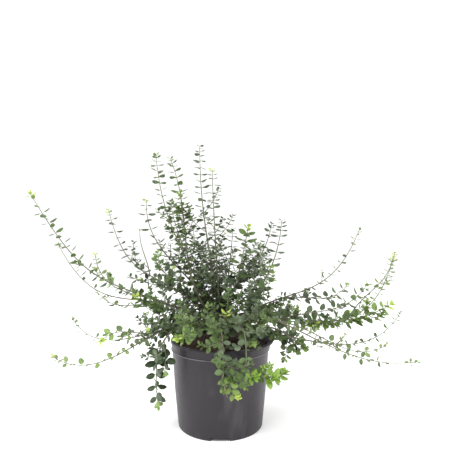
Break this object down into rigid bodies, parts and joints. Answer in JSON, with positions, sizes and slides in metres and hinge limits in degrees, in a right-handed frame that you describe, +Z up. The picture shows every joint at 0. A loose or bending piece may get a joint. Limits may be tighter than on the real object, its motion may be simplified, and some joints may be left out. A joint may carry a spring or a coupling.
{
  "type": "potted wintercreeper shrub",
  "caption": "Low evergreen shrub with long thin arching shoots of small paired oval leaves, rooted in soil in a round dark grey plastic plant pot that stands flat.",
  "frame": {"origin": "on the ground under the middle of the pot, within 4 mm of the middle of the whole plant's box", "axes": "+Z up; +X towards the long shoots at the plant's right; -Y towards the viewer of its front"},
  "size_m": [0.5583, 0.362, 0.4181],
  "materials": {
    "pot": "matte dark grey moulded plastic, a little paler on scuffed edges",
    "soil": "rough moist red-brown bark and peat mix",
    "root_crown": "grey-brown fissured bark",
    "limb": "thin green-brown bark with small pale pores",
    "foliage": "leathery leaves, dark green with pale midribs, yellow-green at the shoot tips"
  },
  "bodies": {
    "root": {"foliage_back_hang": "foliage", "foliage_back_left": "foliage", "foliage_back_low": "foliage", "foliage_back_right": "foliage", "foliage_back_rise": "foliage", "foliage_bare_left": "foliage", "foliage_bright_right": "foliage", "foliage_dense_right": "foliage", "foliage_drop_right": "foliage", "foliage_far_left": "foliage", "foliage_far_right": "foliage", "foliage_hang_left": "foliage", "foliage_long_right": "foliage", "foliage_low_left": "foliage", "foliage_low_left_back": "foliage", "foliage_low_right": "foliage", "foliage_low_right_front": "foliage", "foliage_middle_back": "foliage", "foliage_rim_front": "foliage", "foliage_rim_front_left": "foliage", "foliage_rim_front_right": "foliage", "foliage_rim_left": "foliage", "foliage_rise_left": "foliage", "foliage_rise_right": "foliage", "foliage_rise_right_front": "foliage", "foliage_slant_left": "foliage", "foliage_tall_left": "foliage", "foliage_tall_left_front": "foliage", "foliage_tall_middle": "foliage", "foliage_tall_right": "foliage", "foliage_trail_front": "foliage", "foliage_trail_right": "foliage", "limb_back_hang": "limb", "limb_back_left": "limb", "limb_back_low": "limb", "limb_back_right": "limb", "limb_bare_left": "limb", "limb_dense_right": "limb", "limb_drop_right": "limb", "limb_far_left": "limb", "limb_far_right": "limb", "limb_hang_left": "limb", "limb_long_right": "limb", "limb_low_left": "limb", "limb_low_left_back": "limb", "limb_low_right": "limb", "limb_low_right_front": "limb", "limb_trail_front": "limb", "limb_trail_right": "limb", "pot": "pot", "root_crown": "root_crown", "soil": "soil"}
  },
  "joints": []
}
